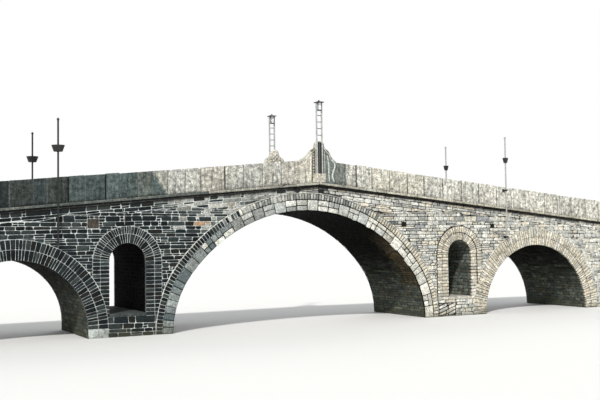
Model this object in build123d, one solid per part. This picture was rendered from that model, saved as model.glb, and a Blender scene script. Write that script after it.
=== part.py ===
from build123d import *
from math import asin, atan, cos, degrees, radians, sin, sqrt
import os

# Stone arch footbridge: a wide three-centred arch between two round side arches,
# with a small round-headed relief passage through each pier.
# Millimetres. X runs along the bridge, Y across it, Z up.
# The origin is on the water line, midway between the ends and between the faces,
# under the middle of the main arch.

# Width
face_to_face = 3500
face_wall = 450

# Main arch, three-centred: half span and rise at the water line, haunch radius as a share of the rise
main_half_span = 4900
main_rise = 3950
main_haunch_share = 0.772
main_ring = 370
main_hood = 210
main_voussoir = 410

# Side arches, round
left_arch_radius = 2150
left_arch_springing = 280
right_arch_radius = 2600
right_arch_springing = 20
side_ring = 310
side_hood = 300
side_voussoir = 240

# Clear width of the piers at the springing, and length of the abutments past the rings
left_pier_width = 2710
right_pier_width = 2860
left_abutment_length = 2080
right_abutment_length = 1030

# Relief passages, placed from the main arch's springing and from the peak of the road line
left_passage_offset = 1480
left_passage_half_width = 585
right_passage_offset = 1620
right_passage_half_width = 540
passage_drop = 2460
passage_ring = 280
passage_hood = 240
passage_voussoir = 120
passage_floor = 720
sill_thickness = 100
sill_nosing = 25

# Hood rings stand a little proud of the faces
hood_relief = 20

# Road line: the underside of the string course, two straight ramps that meet at a peak
peak_cover = 250
peak_x = 450
left_fall = 0.0907
right_fall = 0.0986

# String course in two thin courses, with the road paving between the two faces' courses
string_lower = 60
string_upper = 80
string_lower_nosing = 45
string_upper_nosing = 100
string_bed = 400

# Parapet of standing slabs
slab_height = 810
slab_thickness = 180
slab_setback = 20
slab_joint = 12
shortest_slab = 260
front_left_slabs = (690, 720, 680, 690, 840, 550, 590, 530, 450, 590, 440, 650, 500, 640, 400)
front_right_slabs = (820, 670, 760, 780, 750, 860, 870, 840, 870, 740, 920)
rear_left_slabs = (760, 640, 820, 590, 700, 520, 880, 660, 610, 740, 560)
rear_right_slabs = (620, 780, 560, 840, 690, 730, 600, 870, 650, 540, 790, 710)

# Carved crest stone at the peak: hollow shoulders, a small roll on each side, a round head
crest_half_width = 730
crest_rise = 640
crest_head_radius = 165
crest_neck_x = 235
crest_neck_drop = 115
crest_neck_hollow = 14
crest_roll_x = 395
crest_roll_drop = 270
crest_roll_bulge = 26
crest_shoulder_hollow = 30
front_crest_shift = 90
rear_crest_shift = -30

# Lamps at the peak, each on a stone corbel
corbel_height = 290
corbel_foot = 450
corbel_head = 340
corbel_projection = 260
lamp_width = 250
lamp_bar = 45
lamp_height = 2480
lamp_panel_height = 1090
lamp_panel_thickness = 16
lamp_tie_spacing = 230
lamp_tie = 22
base_plate_thickness = 14
base_plate_margin = 30
lantern_height = 250
lantern_tray = 24
lantern_glass_side = 124
lantern_corner_bar = 14
cap_side = 270
cap_edge = 26
cap_rise = 34
finial_side = 34
finial_height = 36

# Slender poles beside the ramps, with two brackets and a planting bowl each
left_pole_from_pier = 940
right_pole_from_pier = 990
pole_radius = 28
pole_below_bracket = 60
left_pole_head = 2640
right_pole_head = 2810
pole_cap_radius = 42
pole_cap_height = 90
pole_to_string = 14
clamp_side = 84
clamp_height = 60
clamp_clearance = 0.3
arm_section = 34
wall_plate_width = 110
wall_plate_height = 110
wall_plate_thickness = 12
bracket_over_hood = 140
bracket_below_head = 2020
bowl_below_head = 940
bowl_height = 190
left_bowl_rim_radius = 200
left_bowl_foot_radius = 132
right_bowl_rim_radius = 112
right_bowl_foot_radius = 70
bowl_sides = 20
bowl_soil_depth = 40
bowl_wall = 14

# Places that follow from the sizes
half_width = face_to_face / 2
core_half_width = half_width - face_wall
left_pier_edge = -main_half_span - left_pier_width
right_pier_edge = main_half_span + right_pier_width
left_arch_x = left_pier_edge - left_arch_radius
right_arch_x = right_pier_edge + right_arch_radius
left_passage_x = -main_half_span - left_passage_offset
right_passage_x = main_half_span + right_passage_offset
left_pole_x = left_pier_edge - left_pole_from_pier
right_pole_x = right_pier_edge + right_pole_from_pier
left_ring_end = left_arch_x - left_arch_radius - side_ring - side_hood
right_ring_end = right_arch_x + right_arch_radius + side_ring + side_hood
left_end = left_ring_end - left_abutment_length
right_end = right_ring_end + right_abutment_length
peak_z = main_rise + main_ring + main_hood + peak_cover
passage_springing = peak_z - passage_drop
pier_top = passage_floor - sill_thickness
string_height = string_lower + string_upper
string_inner = half_width + string_upper_nosing - string_bed
slab_outer = half_width - slab_setback
slab_inner = slab_outer - slab_thickness
slab_top = string_height + slab_height


def string_line(x):
    """Height of the underside of the string course at x."""
    if x < peak_x:
        return peak_z - left_fall * (peak_x - x)
    return peak_z - right_fall * (x - peak_x)


# Profiles are drawn in elevation, in x and z, and extruded across the bridge

def across(profile, y_low, y_high):
    """Extrude a profile from one distance across the bridge to another."""
    return extrude(Plane.XZ.offset(-y_high) * profile, amount=y_high - y_low)


def through(profile):
    """Extrude a profile from face to face."""
    return across(profile, -half_width, half_width)


def both_faces(profile, depth, proud=0):
    """The same profile at the front face and at the rear face."""
    front = across(profile, -half_width - proud, -half_width + depth)
    rear = across(profile, half_width - depth, half_width + proud)
    return front, rear


def masonry(face_profile, core_profile):
    """One mass of masonry, with one profile at both faces and another between them."""
    front, rear = both_faces(face_profile, face_wall)
    return front + across(core_profile, -core_half_width, core_half_width) + rear


def polygon(*corners):
    return make_face(Polyline(*corners, close=True))


def column(x_from, x_to, z_from, z_to):
    """Upright rectangle in elevation."""
    return polygon((x_from, z_from), (x_from, z_to), (x_to, z_to), (x_to, z_from))


# Arch curves are runs of chords, because each voussoir has a flat face

def chord_points(centre, radius, from_angle, to_angle, chords):
    """Ends of the chords along an arc."""
    step = radians(to_angle - from_angle) / chords
    start = radians(from_angle)
    x, z = centre
    angles = [start + step * i for i in range(chords + 1)]
    return [(x + radius * cos(angle), z + radius * sin(angle)) for angle in angles]


def chord_count(radius, sweep, voussoir):
    """How many voussoirs of about this width fit along an arc."""
    return round(radius * radians(sweep) / voussoir)


def main_arch_area(offset):
    """Area under the three-centred curve of the main arch, moved outward by an offset."""
    haunch_radius = main_haunch_share * main_rise
    squares = main_half_span**2 + main_rise**2 - 2 * haunch_radius * main_half_span
    crown_radius = squares / (2 * (main_rise - haunch_radius))
    haunch_x = main_half_span - haunch_radius
    crown_half_angle = degrees(asin(haunch_x / (crown_radius - haunch_radius)))
    turn = 90 - crown_half_angle
    haunch_chords = chord_count(haunch_radius, turn, main_voussoir)
    crown_chords = chord_count(crown_radius, 2 * crown_half_angle, main_voussoir)
    right = chord_points((haunch_x, 0), haunch_radius + offset, 0, turn, haunch_chords)
    crown = chord_points((0, main_rise - crown_radius), crown_radius + offset, turn, 180 - turn, crown_chords)
    left = chord_points((-haunch_x, 0), haunch_radius + offset, 180 - turn, 180, haunch_chords)
    return polygon(*right, *crown[1:-1], *left)


def round_arch_area(centre_x, springing, radius, offset, voussoir, bottom=0):
    """Area under a round arch with upright legs down to a level, moved outward by an offset."""
    chords = chord_count(radius, 180, voussoir)
    head = chord_points((centre_x, springing), radius + offset, 0, 180, chords)
    return polygon((centre_x + radius + offset, bottom), *head, (centre_x - radius - offset, bottom))


def left_arch_area(offset):
    return round_arch_area(left_arch_x, left_arch_springing, left_arch_radius, offset, side_voussoir)


def right_arch_area(offset):
    return round_arch_area(right_arch_x, right_arch_springing, right_arch_radius, offset, side_voussoir)


main_inside = main_arch_area(0)
main_extrados = main_arch_area(main_ring)
main_outline = main_arch_area(main_ring + main_hood)
left_inside = left_arch_area(0)
left_extrados = left_arch_area(side_ring)
left_outline = left_arch_area(side_ring + side_hood)
right_inside = right_arch_area(0)
right_extrados = right_arch_area(side_ring)
right_outline = right_arch_area(side_ring + side_hood)
all_extrados = main_extrados + left_extrados + right_extrados
all_outlines = main_outline + left_outline + right_outline


def passage_areas(centre_x, half_span):
    """Opening, surround and outer surround of a relief passage, both cut by the arch rings."""
    inside, inner, outer = [
        round_arch_area(centre_x, passage_springing, half_span, offset, passage_voussoir, pier_top)
        for offset in (0, passage_ring, passage_ring + passage_hood)
    ]
    return inside, inner - all_outlines, outer - all_outlines


left_hole, left_surround, left_outer = passage_areas(left_passage_x, left_passage_half_width)
right_hole, right_surround, right_outer = passage_areas(right_passage_x, right_passage_half_width)

parts = {}

# Arch rings: a barrel from face to face, and a hood ring on each face

parts["main_arch_barrel"] = through(main_extrados - main_inside)
parts["left_arch_barrel"] = through(left_extrados - left_inside)
parts["right_arch_barrel"] = through(right_extrados - right_inside)

hood_rings = {
    "main_arch_hood": main_outline - main_extrados,
    "left_arch_hood": left_outline - left_extrados,
    "right_arch_hood": right_outline - right_extrados,
}
for name, ring in hood_rings.items():
    parts[name + "_front"], parts[name + "_rear"] = both_faces(ring, face_wall, hood_relief)


def passage(side, centre_x, half_span, hole, surround, outer):
    """The surround lines the passage, the outer surround is on the faces only, the sill is the floor."""
    sill = column(centre_x - half_span, centre_x + half_span, pier_top, passage_floor)
    front_hood, rear_hood = both_faces(outer - surround - hole, face_wall, hood_relief)
    parts[side + "_passage_surround"] = through(surround - hole)
    parts[side + "_passage_hoods"] = front_hood + rear_hood
    parts[side + "_passage_sill"] = across(sill, -half_width - sill_nosing, half_width + sill_nosing)


passage("left", left_passage_x, left_passage_half_width, left_hole, left_surround, left_outer)
passage("right", right_passage_x, right_passage_half_width, right_hole, right_surround, right_outer)

# Pier feet between the arch rings, up to the sills

left_foot = column(left_pier_edge, -main_half_span, 0, pier_top)
right_foot = column(main_half_span, right_pier_edge, 0, pier_top)
parts["left_pier_foot"] = masonry(left_foot - all_outlines, left_foot - all_extrados)
parts["right_pier_foot"] = masonry(right_foot - all_outlines, right_foot - all_extrados)


def under_road(x_from, x_to):
    """Area from the water line up to the string course, along one ramp."""
    return polygon((x_from, 0), (x_from, string_line(x_from)), (x_to, string_line(x_to)), (x_to, 0))


# Abutments past the side arches

parts["left_abutment"] = through(under_road(left_end, left_ring_end))
parts["right_abutment"] = through(under_road(right_ring_end, right_end))

# Spandrel walls on the faces and the rubble core between them, split under the peak

left_half = under_road(left_ring_end, peak_x) - left_foot
right_half = under_road(peak_x, right_ring_end) - right_foot


def spandrel(side, half, hole, surround, outer):
    wall = half - all_outlines - outer - hole
    core = half - all_extrados - surround - hole
    parts["front_" + side + "_spandrel"], parts["rear_" + side + "_spandrel"] = both_faces(wall, face_wall)
    parts[side + "_rubble_core"] = across(core, -core_half_width, core_half_width)


spandrel("left", left_half, left_hole, left_surround, left_outer)
spandrel("right", right_half, right_hole, right_surround, right_outer)


# Road paving, and the string courses that border it

def ramp(x_from, x_to, rise_from, rise_to):
    """A strip along one ramp, between two heights above the string course's underside."""
    return polygon(
        (x_from, string_line(x_from) + rise_from),
        (x_to, string_line(x_to) + rise_from),
        (x_to, string_line(x_to) + rise_to),
        (x_from, string_line(x_from) + rise_to),
    )


def string_course(x_from, x_to):
    """Two thin courses on the front face, the upper one oversailing the lower."""
    lower = across(ramp(x_from, x_to, 0, string_lower), -half_width - string_lower_nosing, -string_inner)
    upper_ramp = ramp(x_from, x_to, string_lower, string_height)
    return lower + across(upper_ramp, -half_width - string_upper_nosing, -string_inner)


def at_rear(shape):
    """Mirror a front piece to the rear face."""
    return mirror(shape, Plane.XZ)


for side, x_from, x_to in (("left", left_end, peak_x), ("right", peak_x, right_end)):
    parts[side + "_road_paving"] = across(ramp(x_from, x_to, 0, string_height), -string_inner, string_inner)
    parts["front_" + side + "_string_course"] = string_course(x_from, x_to)
    parts["rear_" + side + "_string_course"] = at_rear(string_course(x_from, x_to))


# Parapets: standing slabs from the crest stone to the end of each ramp

def slab_edges(start, end, widths):
    """Lower and upper x of each slab from the crest outward. The last one ends the parapet."""
    direction = 1 if end > start else -1
    length = abs(end - start)
    edges = []
    near = slab_joint
    index = 0
    while near < length:
        far = near + widths[index % len(widths)] - slab_joint
        if far + slab_joint + shortest_slab > length:
            far = length
        edges.append(sorted((start + direction * near, start + direction * far)))
        near = far + slab_joint
        index += 1
    return edges


def parapet(start, end, widths):
    slabs = []
    for x_from, x_to in slab_edges(start, end, widths):
        slab = across(ramp(x_from, x_to, string_height, slab_top), -slab_outer, -slab_inner)
        slabs.append(slab.solid())
    return Compound(slabs)


crest_left = peak_x - crest_half_width
crest_right = peak_x + crest_half_width
parts["front_left_parapet"] = parapet(crest_left, left_end, front_left_slabs)
parts["front_right_parapet"] = parapet(crest_right, right_end, front_right_slabs)
parts["rear_left_parapet"] = at_rear(parapet(crest_left, left_end, rear_left_slabs))
parts["rear_right_parapet"] = at_rear(parapet(crest_right, right_end, rear_right_slabs))


# Crest stones: hollow shoulders sweep up to a roll, a hollow neck and a round head

def bulged(start, end, bulge):
    """Arc between two points that bulges to the left of the way by a given height."""
    from_point = Vector(*start)
    to_point = Vector(*end)
    way = (to_point - from_point).normalized()
    middle = (from_point + to_point) * 0.5 + Vector(-way.Y, way.X) * bulge
    return ThreePointArc(from_point, middle, to_point)


def crest_profile(shift):
    """Elevation of a crest stone; the carved head stands a little off the peak."""
    head_x = peak_x + shift
    head_z = peak_z + slab_top + crest_rise - crest_head_radius
    left_shoulder = (crest_left, string_line(crest_left) + slab_top)
    right_shoulder = (crest_right, string_line(crest_right) + slab_top)
    bed = Polyline(
        left_shoulder,
        (crest_left, string_line(crest_left) + string_height),
        (peak_x, peak_z + string_height),
        (crest_right, string_line(crest_right) + string_height),
        right_shoulder,
    )
    edges = [bed]
    for side, shoulder in ((1, right_shoulder), (-1, left_shoulder)):
        roll = (head_x + side * crest_roll_x, head_z - crest_roll_drop)
        neck = (head_x + side * crest_neck_x, head_z - crest_neck_drop)
        head = (head_x + side * crest_head_radius, head_z)
        edges.append(bulged(shoulder, roll, side * crest_shoulder_hollow))
        edges.append(bulged(roll, neck, -side * crest_roll_bulge))
        edges.append(bulged(neck, head, side * crest_neck_hollow))
    edges.append(CenterArc((head_x, head_z), crest_head_radius, 0, 180))
    return make_face(edges)


def crest(shift):
    return across(crest_profile(shift), -slab_outer, -slab_inner)


parts["front_crest_stone"] = crest(front_crest_shift)
parts["rear_crest_stone"] = at_rear(crest(rear_crest_shift))

# Lamps

corbel_bottom = peak_z + string_height
corbel_top = corbel_bottom + corbel_height
lamp_y = -slab_outer - corbel_projection / 2
lamp_foot_z = corbel_top + base_plate_thickness
cap_z = corbel_top + lamp_height
tray_z = cap_z - lantern_height - lantern_tray
lamp_clear = lamp_width - 2 * lamp_bar


def block(width, depth, z_low, z_high, x=0, y=0):
    """Box centred on x and y between two heights."""
    return Pos(x, y, (z_low + z_high) / 2) * Box(width, depth, z_high - z_low)


def lamp_corbel():
    """Stone bracket on the string course, narrowing upward and stepping out over the edge."""
    front_view = polygon(
        (peak_x - corbel_foot / 2, corbel_bottom),
        (peak_x + corbel_foot / 2, corbel_bottom),
        (peak_x + corbel_head / 2, corbel_top),
        (peak_x - corbel_head / 2, corbel_top),
    )
    bed_y = -half_width - string_upper_nosing
    front_y = -slab_outer - corbel_projection
    side_view = polygon(
        (-slab_outer, corbel_bottom), (bed_y, corbel_bottom), (front_y, corbel_top), (-slab_outer, corbel_top)
    )
    body = across(front_view, front_y, -slab_outer)
    return body & extrude(Plane.YZ.offset(peak_x - corbel_foot / 2) * side_view, amount=corbel_foot)


def lamp_post():
    """Two uprights on a base plate, with a panel between them below and ties above."""
    upright_x = (lamp_width - lamp_bar) / 2
    margin = 2 * base_plate_margin
    post = block(lamp_width + margin, lamp_bar + margin, corbel_top, lamp_foot_z)
    for side in (-1, 1):
        post += block(lamp_bar, lamp_bar, lamp_foot_z, cap_z, side * upright_x)
    post += block(lamp_clear, lamp_panel_thickness, lamp_foot_z, lamp_foot_z + lamp_panel_height)
    tie_z = lamp_foot_z + lamp_panel_height + lamp_tie_spacing
    while tie_z + lamp_tie < tray_z:
        post += block(lamp_clear, lamp_tie, tie_z, tie_z + lamp_tie)
        tie_z += lamp_tie_spacing
    return Pos(peak_x, lamp_y) * post


def lantern():
    """Tray, corner bars, low hipped cap and finial."""
    frame = block(lamp_clear, lamp_clear, tray_z, tray_z + lantern_tray)
    bar_at = (lantern_glass_side + lantern_corner_bar) / 2
    for x in (-bar_at, bar_at):
        for y in (-bar_at, bar_at):
            frame += block(lantern_corner_bar, lantern_corner_bar, tray_z + lantern_tray, cap_z, x, y)
    frame += block(cap_side, cap_side, cap_z, cap_z + cap_edge)
    roof_z = cap_z + cap_edge
    half = cap_side / 2
    tip = finial_side / 2
    slope = polygon((-half, roof_z), (half, roof_z), (tip, roof_z + cap_rise), (-tip, roof_z + cap_rise))
    frame += across(slope, -half, half) & extrude(Plane.YZ.offset(-half) * slope, amount=cap_side)
    frame += block(finial_side, finial_side, roof_z + cap_rise, roof_z + cap_rise + finial_height)
    return Pos(peak_x, lamp_y) * frame


def lantern_glass():
    glass = block(lantern_glass_side, lantern_glass_side, cap_z - lantern_height, cap_z)
    return Pos(peak_x, lamp_y) * glass


def both(shape):
    """A front piece and its twin at the rear, as separate solids of one node."""
    return Compound(shape.solids() + at_rear(shape).solids())


parts["lamp_corbels"] = both(lamp_corbel())
parts["front_lamp_post"] = lamp_post()
parts["rear_lamp_post"] = at_rear(lamp_post())
parts["front_lantern"] = lantern()
parts["rear_lantern"] = at_rear(lantern())
parts["lantern_glasses"] = both(lantern_glass())

# Poles beside the ramps

pole_y = -half_width - string_upper_nosing - pole_to_string - pole_radius
clamp_bore = pole_radius + clamp_clearance


def hood_top(x, arch_x, arch_radius, springing):
    """Height of the outer curve of a side arch's hood at x."""
    outer_radius = arch_radius + side_ring + side_hood
    return springing + sqrt(outer_radius**2 - (x - arch_x) ** 2)


def pole(x, lower_bracket_z, head_z):
    """Round pole with a turned cap: a collar, a swelling and a point."""
    foot_z = lower_bracket_z - pole_below_bracket
    section = Polyline(
        (0, foot_z),
        (pole_radius, foot_z),
        (pole_radius, head_z),
        (pole_cap_radius, head_z + pole_cap_height / 3),
        (pole_cap_radius, head_z + pole_cap_height / 2),
        (0, head_z + pole_cap_height),
        close=True,
    )
    return Pos(x, pole_y) * revolve(Plane.XZ * make_face(section), Axis.Z)


def bracket(x, z, plate_y):
    """Wall plate, arm and clamp round the pole."""
    plate_front = plate_y - wall_plate_thickness
    plate_middle = plate_y - wall_plate_thickness / 2
    plate = Pos(x, plate_middle, z) * Box(wall_plate_width, wall_plate_thickness, wall_plate_height)
    arm = Pos(x, (plate_front + pole_y) / 2, z) * Box(arm_section, plate_front - pole_y, arm_section)
    clamp = Pos(x, pole_y, z) * Box(clamp_side, clamp_side, clamp_height)
    bore = Pos(x, pole_y, z) * Cylinder(clamp_bore, 2 * clamp_height)
    return plate + arm + clamp - bore


def bowl(x, foot_z, rim_radius, foot_radius):
    """Planting bowl round the pole, filled to just under its rim."""
    foot = Plane.XY.offset(foot_z)
    soil = foot.offset(bowl_height - bowl_soil_depth)
    lean = (rim_radius - foot_radius) / bowl_height
    taper = -degrees(atan(lean))
    soil_radius = rim_radius - bowl_wall - bowl_soil_depth * lean
    side = extrude(foot * RegularPolygon(foot_radius, bowl_sides), amount=bowl_height, taper=taper)
    recess = extrude(soil * RegularPolygon(soil_radius, bowl_sides), amount=bowl_soil_depth, taper=taper)
    bore = extrude(foot * Circle(clamp_bore), amount=bowl_height)
    return Pos(x, pole_y) * (side - recess - bore)


poles = []
bowls = []
brackets = []
for x, head_rise, rim_radius, foot_radius, arch_x, arch_radius, springing in (
    (
        left_pole_x,
        left_pole_head,
        left_bowl_rim_radius,
        left_bowl_foot_radius,
        left_arch_x,
        left_arch_radius,
        left_arch_springing,
    ),
    (
        right_pole_x,
        right_pole_head,
        right_bowl_rim_radius,
        right_bowl_foot_radius,
        right_arch_x,
        right_arch_radius,
        right_arch_springing,
    ),
):
    head_z = string_line(x) + head_rise
    lower_bracket_z = hood_top(x, arch_x, arch_radius, springing) + bracket_over_hood
    poles += pole(x, lower_bracket_z, head_z).solids()
    bowls += bowl(x, head_z - bowl_below_head, rim_radius, foot_radius).solids()
    brackets += bracket(x, lower_bracket_z, -half_width).solids()
    brackets += bracket(x, head_z - bracket_below_head, -slab_outer).solids()

for name, pieces in (("side_poles", poles), ("pole_bowls", bowls), ("pole_brackets", brackets)):
    parts[name] = both(Compound(pieces))


os.makedirs("parts", exist_ok=True)
for node, shape in parts.items():
    export_step(shape, "parts/" + node + ".step")
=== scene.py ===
import bpy
from functools import lru_cache
from itertools import product
from math import asin, atan2, copysign, cos, dist, exp, hypot, pi, radians, sin, sqrt
from random import Random
from mathutils import Matrix, Vector


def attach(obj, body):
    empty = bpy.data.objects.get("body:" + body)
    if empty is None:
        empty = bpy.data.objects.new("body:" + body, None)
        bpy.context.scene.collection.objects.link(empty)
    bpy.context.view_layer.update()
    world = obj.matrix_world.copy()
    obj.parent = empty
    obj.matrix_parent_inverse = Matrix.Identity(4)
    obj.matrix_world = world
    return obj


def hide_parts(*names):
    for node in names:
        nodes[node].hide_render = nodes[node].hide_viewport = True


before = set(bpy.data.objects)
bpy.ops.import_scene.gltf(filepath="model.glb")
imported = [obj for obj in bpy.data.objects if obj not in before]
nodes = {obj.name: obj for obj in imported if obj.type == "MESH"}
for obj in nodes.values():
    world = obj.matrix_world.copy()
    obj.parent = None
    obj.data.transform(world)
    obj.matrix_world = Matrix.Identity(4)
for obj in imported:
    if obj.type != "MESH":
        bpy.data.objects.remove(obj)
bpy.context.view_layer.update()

# Sizes in metres, as in the solids
END = 14.6
W = 1.75
PEAK_X, PEAK_Z, LEFT_FALL, RIGHT_FALL = 0.45, 4.78, 0.0907, 0.0986
MAIN_SPAN, MAIN_RISE, MAIN_SHARE, MAIN_RING, MAIN_HOOD = 4.9, 3.95, 0.772, 0.37, 0.21
SIDE_RING, SIDE_HOOD = 0.31, 0.30
# Side arches and passages: middle of the circle and radius
LEFT_ARCH, RIGHT_ARCH = (-9.76, 0.28, 2.15), (10.36, 0.02, 2.60)
LEFT_PASSAGE, RIGHT_PASSAGE = (-6.38, 2.32, 0.585), (6.52, 2.32, 0.54)
PASSAGE_RING, PASSAGE_HOOD = 0.28, 0.24
MAIN_STONE, SIDE_STONE, PASSAGE_STONE, JAMB_STONES = 0.41, 0.24, 0.12, 14
PIER_TOP, PASSAGE_FLOOR = 0.62, 0.72
HOOD_RELIEF = 0.02
LOWER_STRING, STRING = 0.06, 0.14
LOWER_NOSE, UPPER_NOSE = 1.795, 1.85
ROAD_EDGE = 1.45
SLAB_OUT, SLAB_IN, SLAB_TOP = 1.73, 1.55, 0.95


def line(x):
    """Underside of the string course at x."""
    return PEAK_Z - (LEFT_FALL * (PEAK_X - x) if x < PEAK_X else RIGHT_FALL * (x - PEAK_X))


def smooth(low, high, x):
    t = min(1.0, max(0.0, (x - low) / (high - low)))
    return t * t * (3 - 2 * t)


def mid(a, b, t):
    """The point, or the colour, at a share of the way from a to b."""
    return tuple(c + (d - c) * t for c, d in zip(a, b))


def rgb(*tone):
    """A colour as seen on the screen, in linear values."""
    return tuple(c / 255 / 12.92 if c / 255 < 0.04045 else ((c / 255 + 0.055) / 1.055) ** 2.4 for c in tone)


# Materials


class Tree:
    """Short ways to wire a material or the world."""

    def __init__(self, name, kind="materials"):
        self.owner = getattr(bpy.data, kind).new(name)
        self.owner.use_nodes = True
        self.nodes = self.owner.node_tree.nodes
        self.links = self.owner.node_tree.links
        if kind == "materials":
            self.shader = self.nodes["Principled BSDF"]
            self.place = self.add("TexCoord").outputs["Object"]

    def add(self, kind, *first, **values):
        """A new node. The first values go to its first inputs; capitalised names are inputs, the others settings."""
        node = self.nodes.new("ShaderNode" + kind)
        for key, value in values.items():
            if key[0].isupper():
                self.put(value, node.inputs[key.replace("_", " ")])
            else:
                setattr(node, key, value)
        for value, socket in zip(first, node.inputs):
            self.put(value, socket)
        return node

    def put(self, value, socket):
        if isinstance(value, bpy.types.NodeSocket):
            self.links.new(value, socket)
        elif socket.type == "RGBA":
            socket.default_value = (*value, 1)
        else:
            socket.default_value = value

    def noise(self, scale, detail, rough=0.55, stretch=None, distort=0.0):
        place = self.add("Mapping", Vector=self.place, Scale=stretch).outputs[0] if stretch else self.place
        values = {"Scale": scale, "Detail": detail, "Roughness": rough, "Distortion": distort}
        return self.add("TexNoise", Vector=place, **values).outputs["Fac"]

    def cells(self, scale):
        return self.add("TexVoronoi", Vector=self.place, Scale=scale).outputs["Distance"]

    def math(self, kind, a, b=0.0):
        return self.add("Math", a, b, operation=kind).outputs[0]

    def span(self, value, low, high, to_low=0.0, to_high=1.0):
        """Maps a value from one range to another, clamped."""
        values = {"From_Min": low, "From_Max": high, "To_Min": to_low, "To_Max": to_high}
        return self.add("MapRange", Value=value, **values).outputs[0]

    def ragged(self, value, scale, detail, low, high):
        """A value shifted by noise, between low and high."""
        return self.math("ADD", value, self.span(self.noise(scale, detail), 0.3, 0.7, low, high))

    def mix(self, factor, a, b, kind="MIX"):
        node = self.add("Mix", data_type="RGBA", blend_type=kind)
        self.put(factor, node.inputs[0])
        self.put(a, node.inputs[6])
        self.put(b, node.inputs[7])
        return node.outputs[2]

    def blend(self, pattern, low, high, a, b, to_low=0.0, to_high=1.0):
        """From colour a to colour b as a pattern goes from low to high."""
        return self.mix(self.span(pattern, low, high, to_low, to_high), a, b)

    def times(self, colour, factor):
        return self.mix(1.0, colour, factor, "MULTIPLY")

    def darken(self, colour, pattern, low, high, most, factor):
        """Multiplies a colour where a pattern is high."""
        return self.blend(pattern, low, high, colour, self.times(colour, factor), 0.0, most)

    def shades(self, pattern, low, high, colour, dark, bright):
        """One colour, from dark to bright by a pattern."""
        return self.blend(pattern, low, high, *(tuple(c * k for c in colour) for k in (dark, bright)))

    def attribute(self, name, output="Color"):
        return self.add("Attribute", attribute_name=name).outputs[output]

    def axis(self, index, normal=False):
        source = self.add("NewGeometry").outputs["Normal"] if normal else self.place
        return self.add("SeparateXYZ", source).outputs[index]

    def bump(self, *layers):
        normal = None
        for height, strength, distance in layers:
            node = self.add("Bump", Strength=strength, Distance=distance, Height=height)
            if normal:
                self.put(normal, node.inputs["Normal"])
            normal = node.outputs[0]
        self.put(normal, self.shader.inputs["Normal"])

    def done(self, colour, roughness=0.9, **inputs):
        values = {"Base Color": colour, "Roughness": roughness, "Metallic": 0.0, **inputs}
        for key, value in values.items():
            self.put(value, self.shader.inputs[key.replace("_", " ")])
        return self.owner

    def join(self, factor, near, far, output):
        """Blends two shaders and sends them to the output."""
        mixer = self.add("MixShader", factor, near.outputs[0], far.outputs[0])
        self.put(mixer.outputs[0], self.nodes[output].inputs["Surface"])


MORTAR = rgb(206, 206, 196)
# Nearly black: painted shade in deep raked joints
JOINT_SHADE = rgb(36, 33, 29)
GREY_SLAB = (148, 154, 148)
DARK_IRON = (0.018, 0.019, 0.018)


def water_stain(tree, colour):
    """Damp darkening and green-brown growth just above the water line."""
    height = tree.ragged(tree.axis(2), 2.3, 5, -0.22, 0.22)
    return tree.blend(height, 0.06, 0.34, colour, rgb(74, 76, 60), 0.52, 0.0)


def painted_string_shade(tree, colour):
    """Painted shade: a dark band on the wall right under the string course's overhang."""
    x = tree.axis(0)
    left = tree.math("MULTIPLY", tree.math("SUBTRACT", PEAK_X, x), LEFT_FALL)
    right = tree.math("MULTIPLY", tree.math("SUBTRACT", x, PEAK_X), RIGHT_FALL)
    drop = tree.math("ADD", tree.math("MAXIMUM", left, right), tree.axis(2))
    below = tree.ragged(tree.math("SUBTRACT", PEAK_Z, drop), 3.1, 4, -0.03, 0.05)
    return tree.blend(below, 0.03, 0.13, colour, rgb(34, 33, 30), 0.88, 0.0)


def pointing_tone(tree, extra=0.0):
    """Pale flush pointing on the left part; from the crown to the right many joints are raked out and painted nearly
    black, painted shade in the deep joints.
    """
    side = tree.ragged(tree.axis(0), 0.9, 3, -1.8, 1.8)
    far_right = tree.span(side, 4.5, 10.0, 0.0, 0.2)
    share = tree.math("SUBTRACT", tree.span(side, -4.2, 1.0, 0.04, 0.66 + extra), far_right)
    raked = tree.span(tree.math("ADD", tree.noise(5.5, 4, 0.6), share), 0.86, 1.0)
    pale = tree.blend(side, -5.0, 4.0, rgb(224, 232, 231), rgb(240, 236, 224))
    whole = tree.span(tree.noise(6.5, 5, 0.62), 0.34, 0.52, 0.45, 1.0)
    pale = tree.mix(tree.math("SUBTRACT", 1.0, whole), pale, rgb(74, 82, 83))
    return tree.mix(raked, pale, JOINT_SHADE)


def crest_tone(tree):
    """Cream stone; on the front, painted shade in the carved strip left of the lamp and the lamp's painted shadow in
    bluish grey right of it.
    """
    x = tree.math("SUBTRACT", tree.axis(0), PEAK_X)
    front = tree.math("LESS_THAN", tree.axis(1), -1.64)
    # The lamp's painted shadow, right of the lamp.
    grey = tree.math("MULTIPLY", tree.span(tree.ragged(x, 5, 3, -0.06, 0.06), 0.11, 0.22), front)
    # Painted shade in the carved strip's recess.
    strip = tree.span(tree.math("ABSOLUTE", tree.math("ADD", x, 0.18)), 0.07, 0.09, 1.0, 0.0)
    colour = tree.mix(tree.math("MULTIPLY", strip, front), rgb(232, 228, 215), rgb(120, 116, 108))
    return tree.mix(grey, colour, rgb(126, 135, 133))


# Painted shade: the sills are dark on the left and pale on the right.
def sill_tone(tree):
    return tree.blend(tree.axis(0), -1.0, 1.0, rgb(78, 85, 84), rgb(216, 213, 202))


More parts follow.
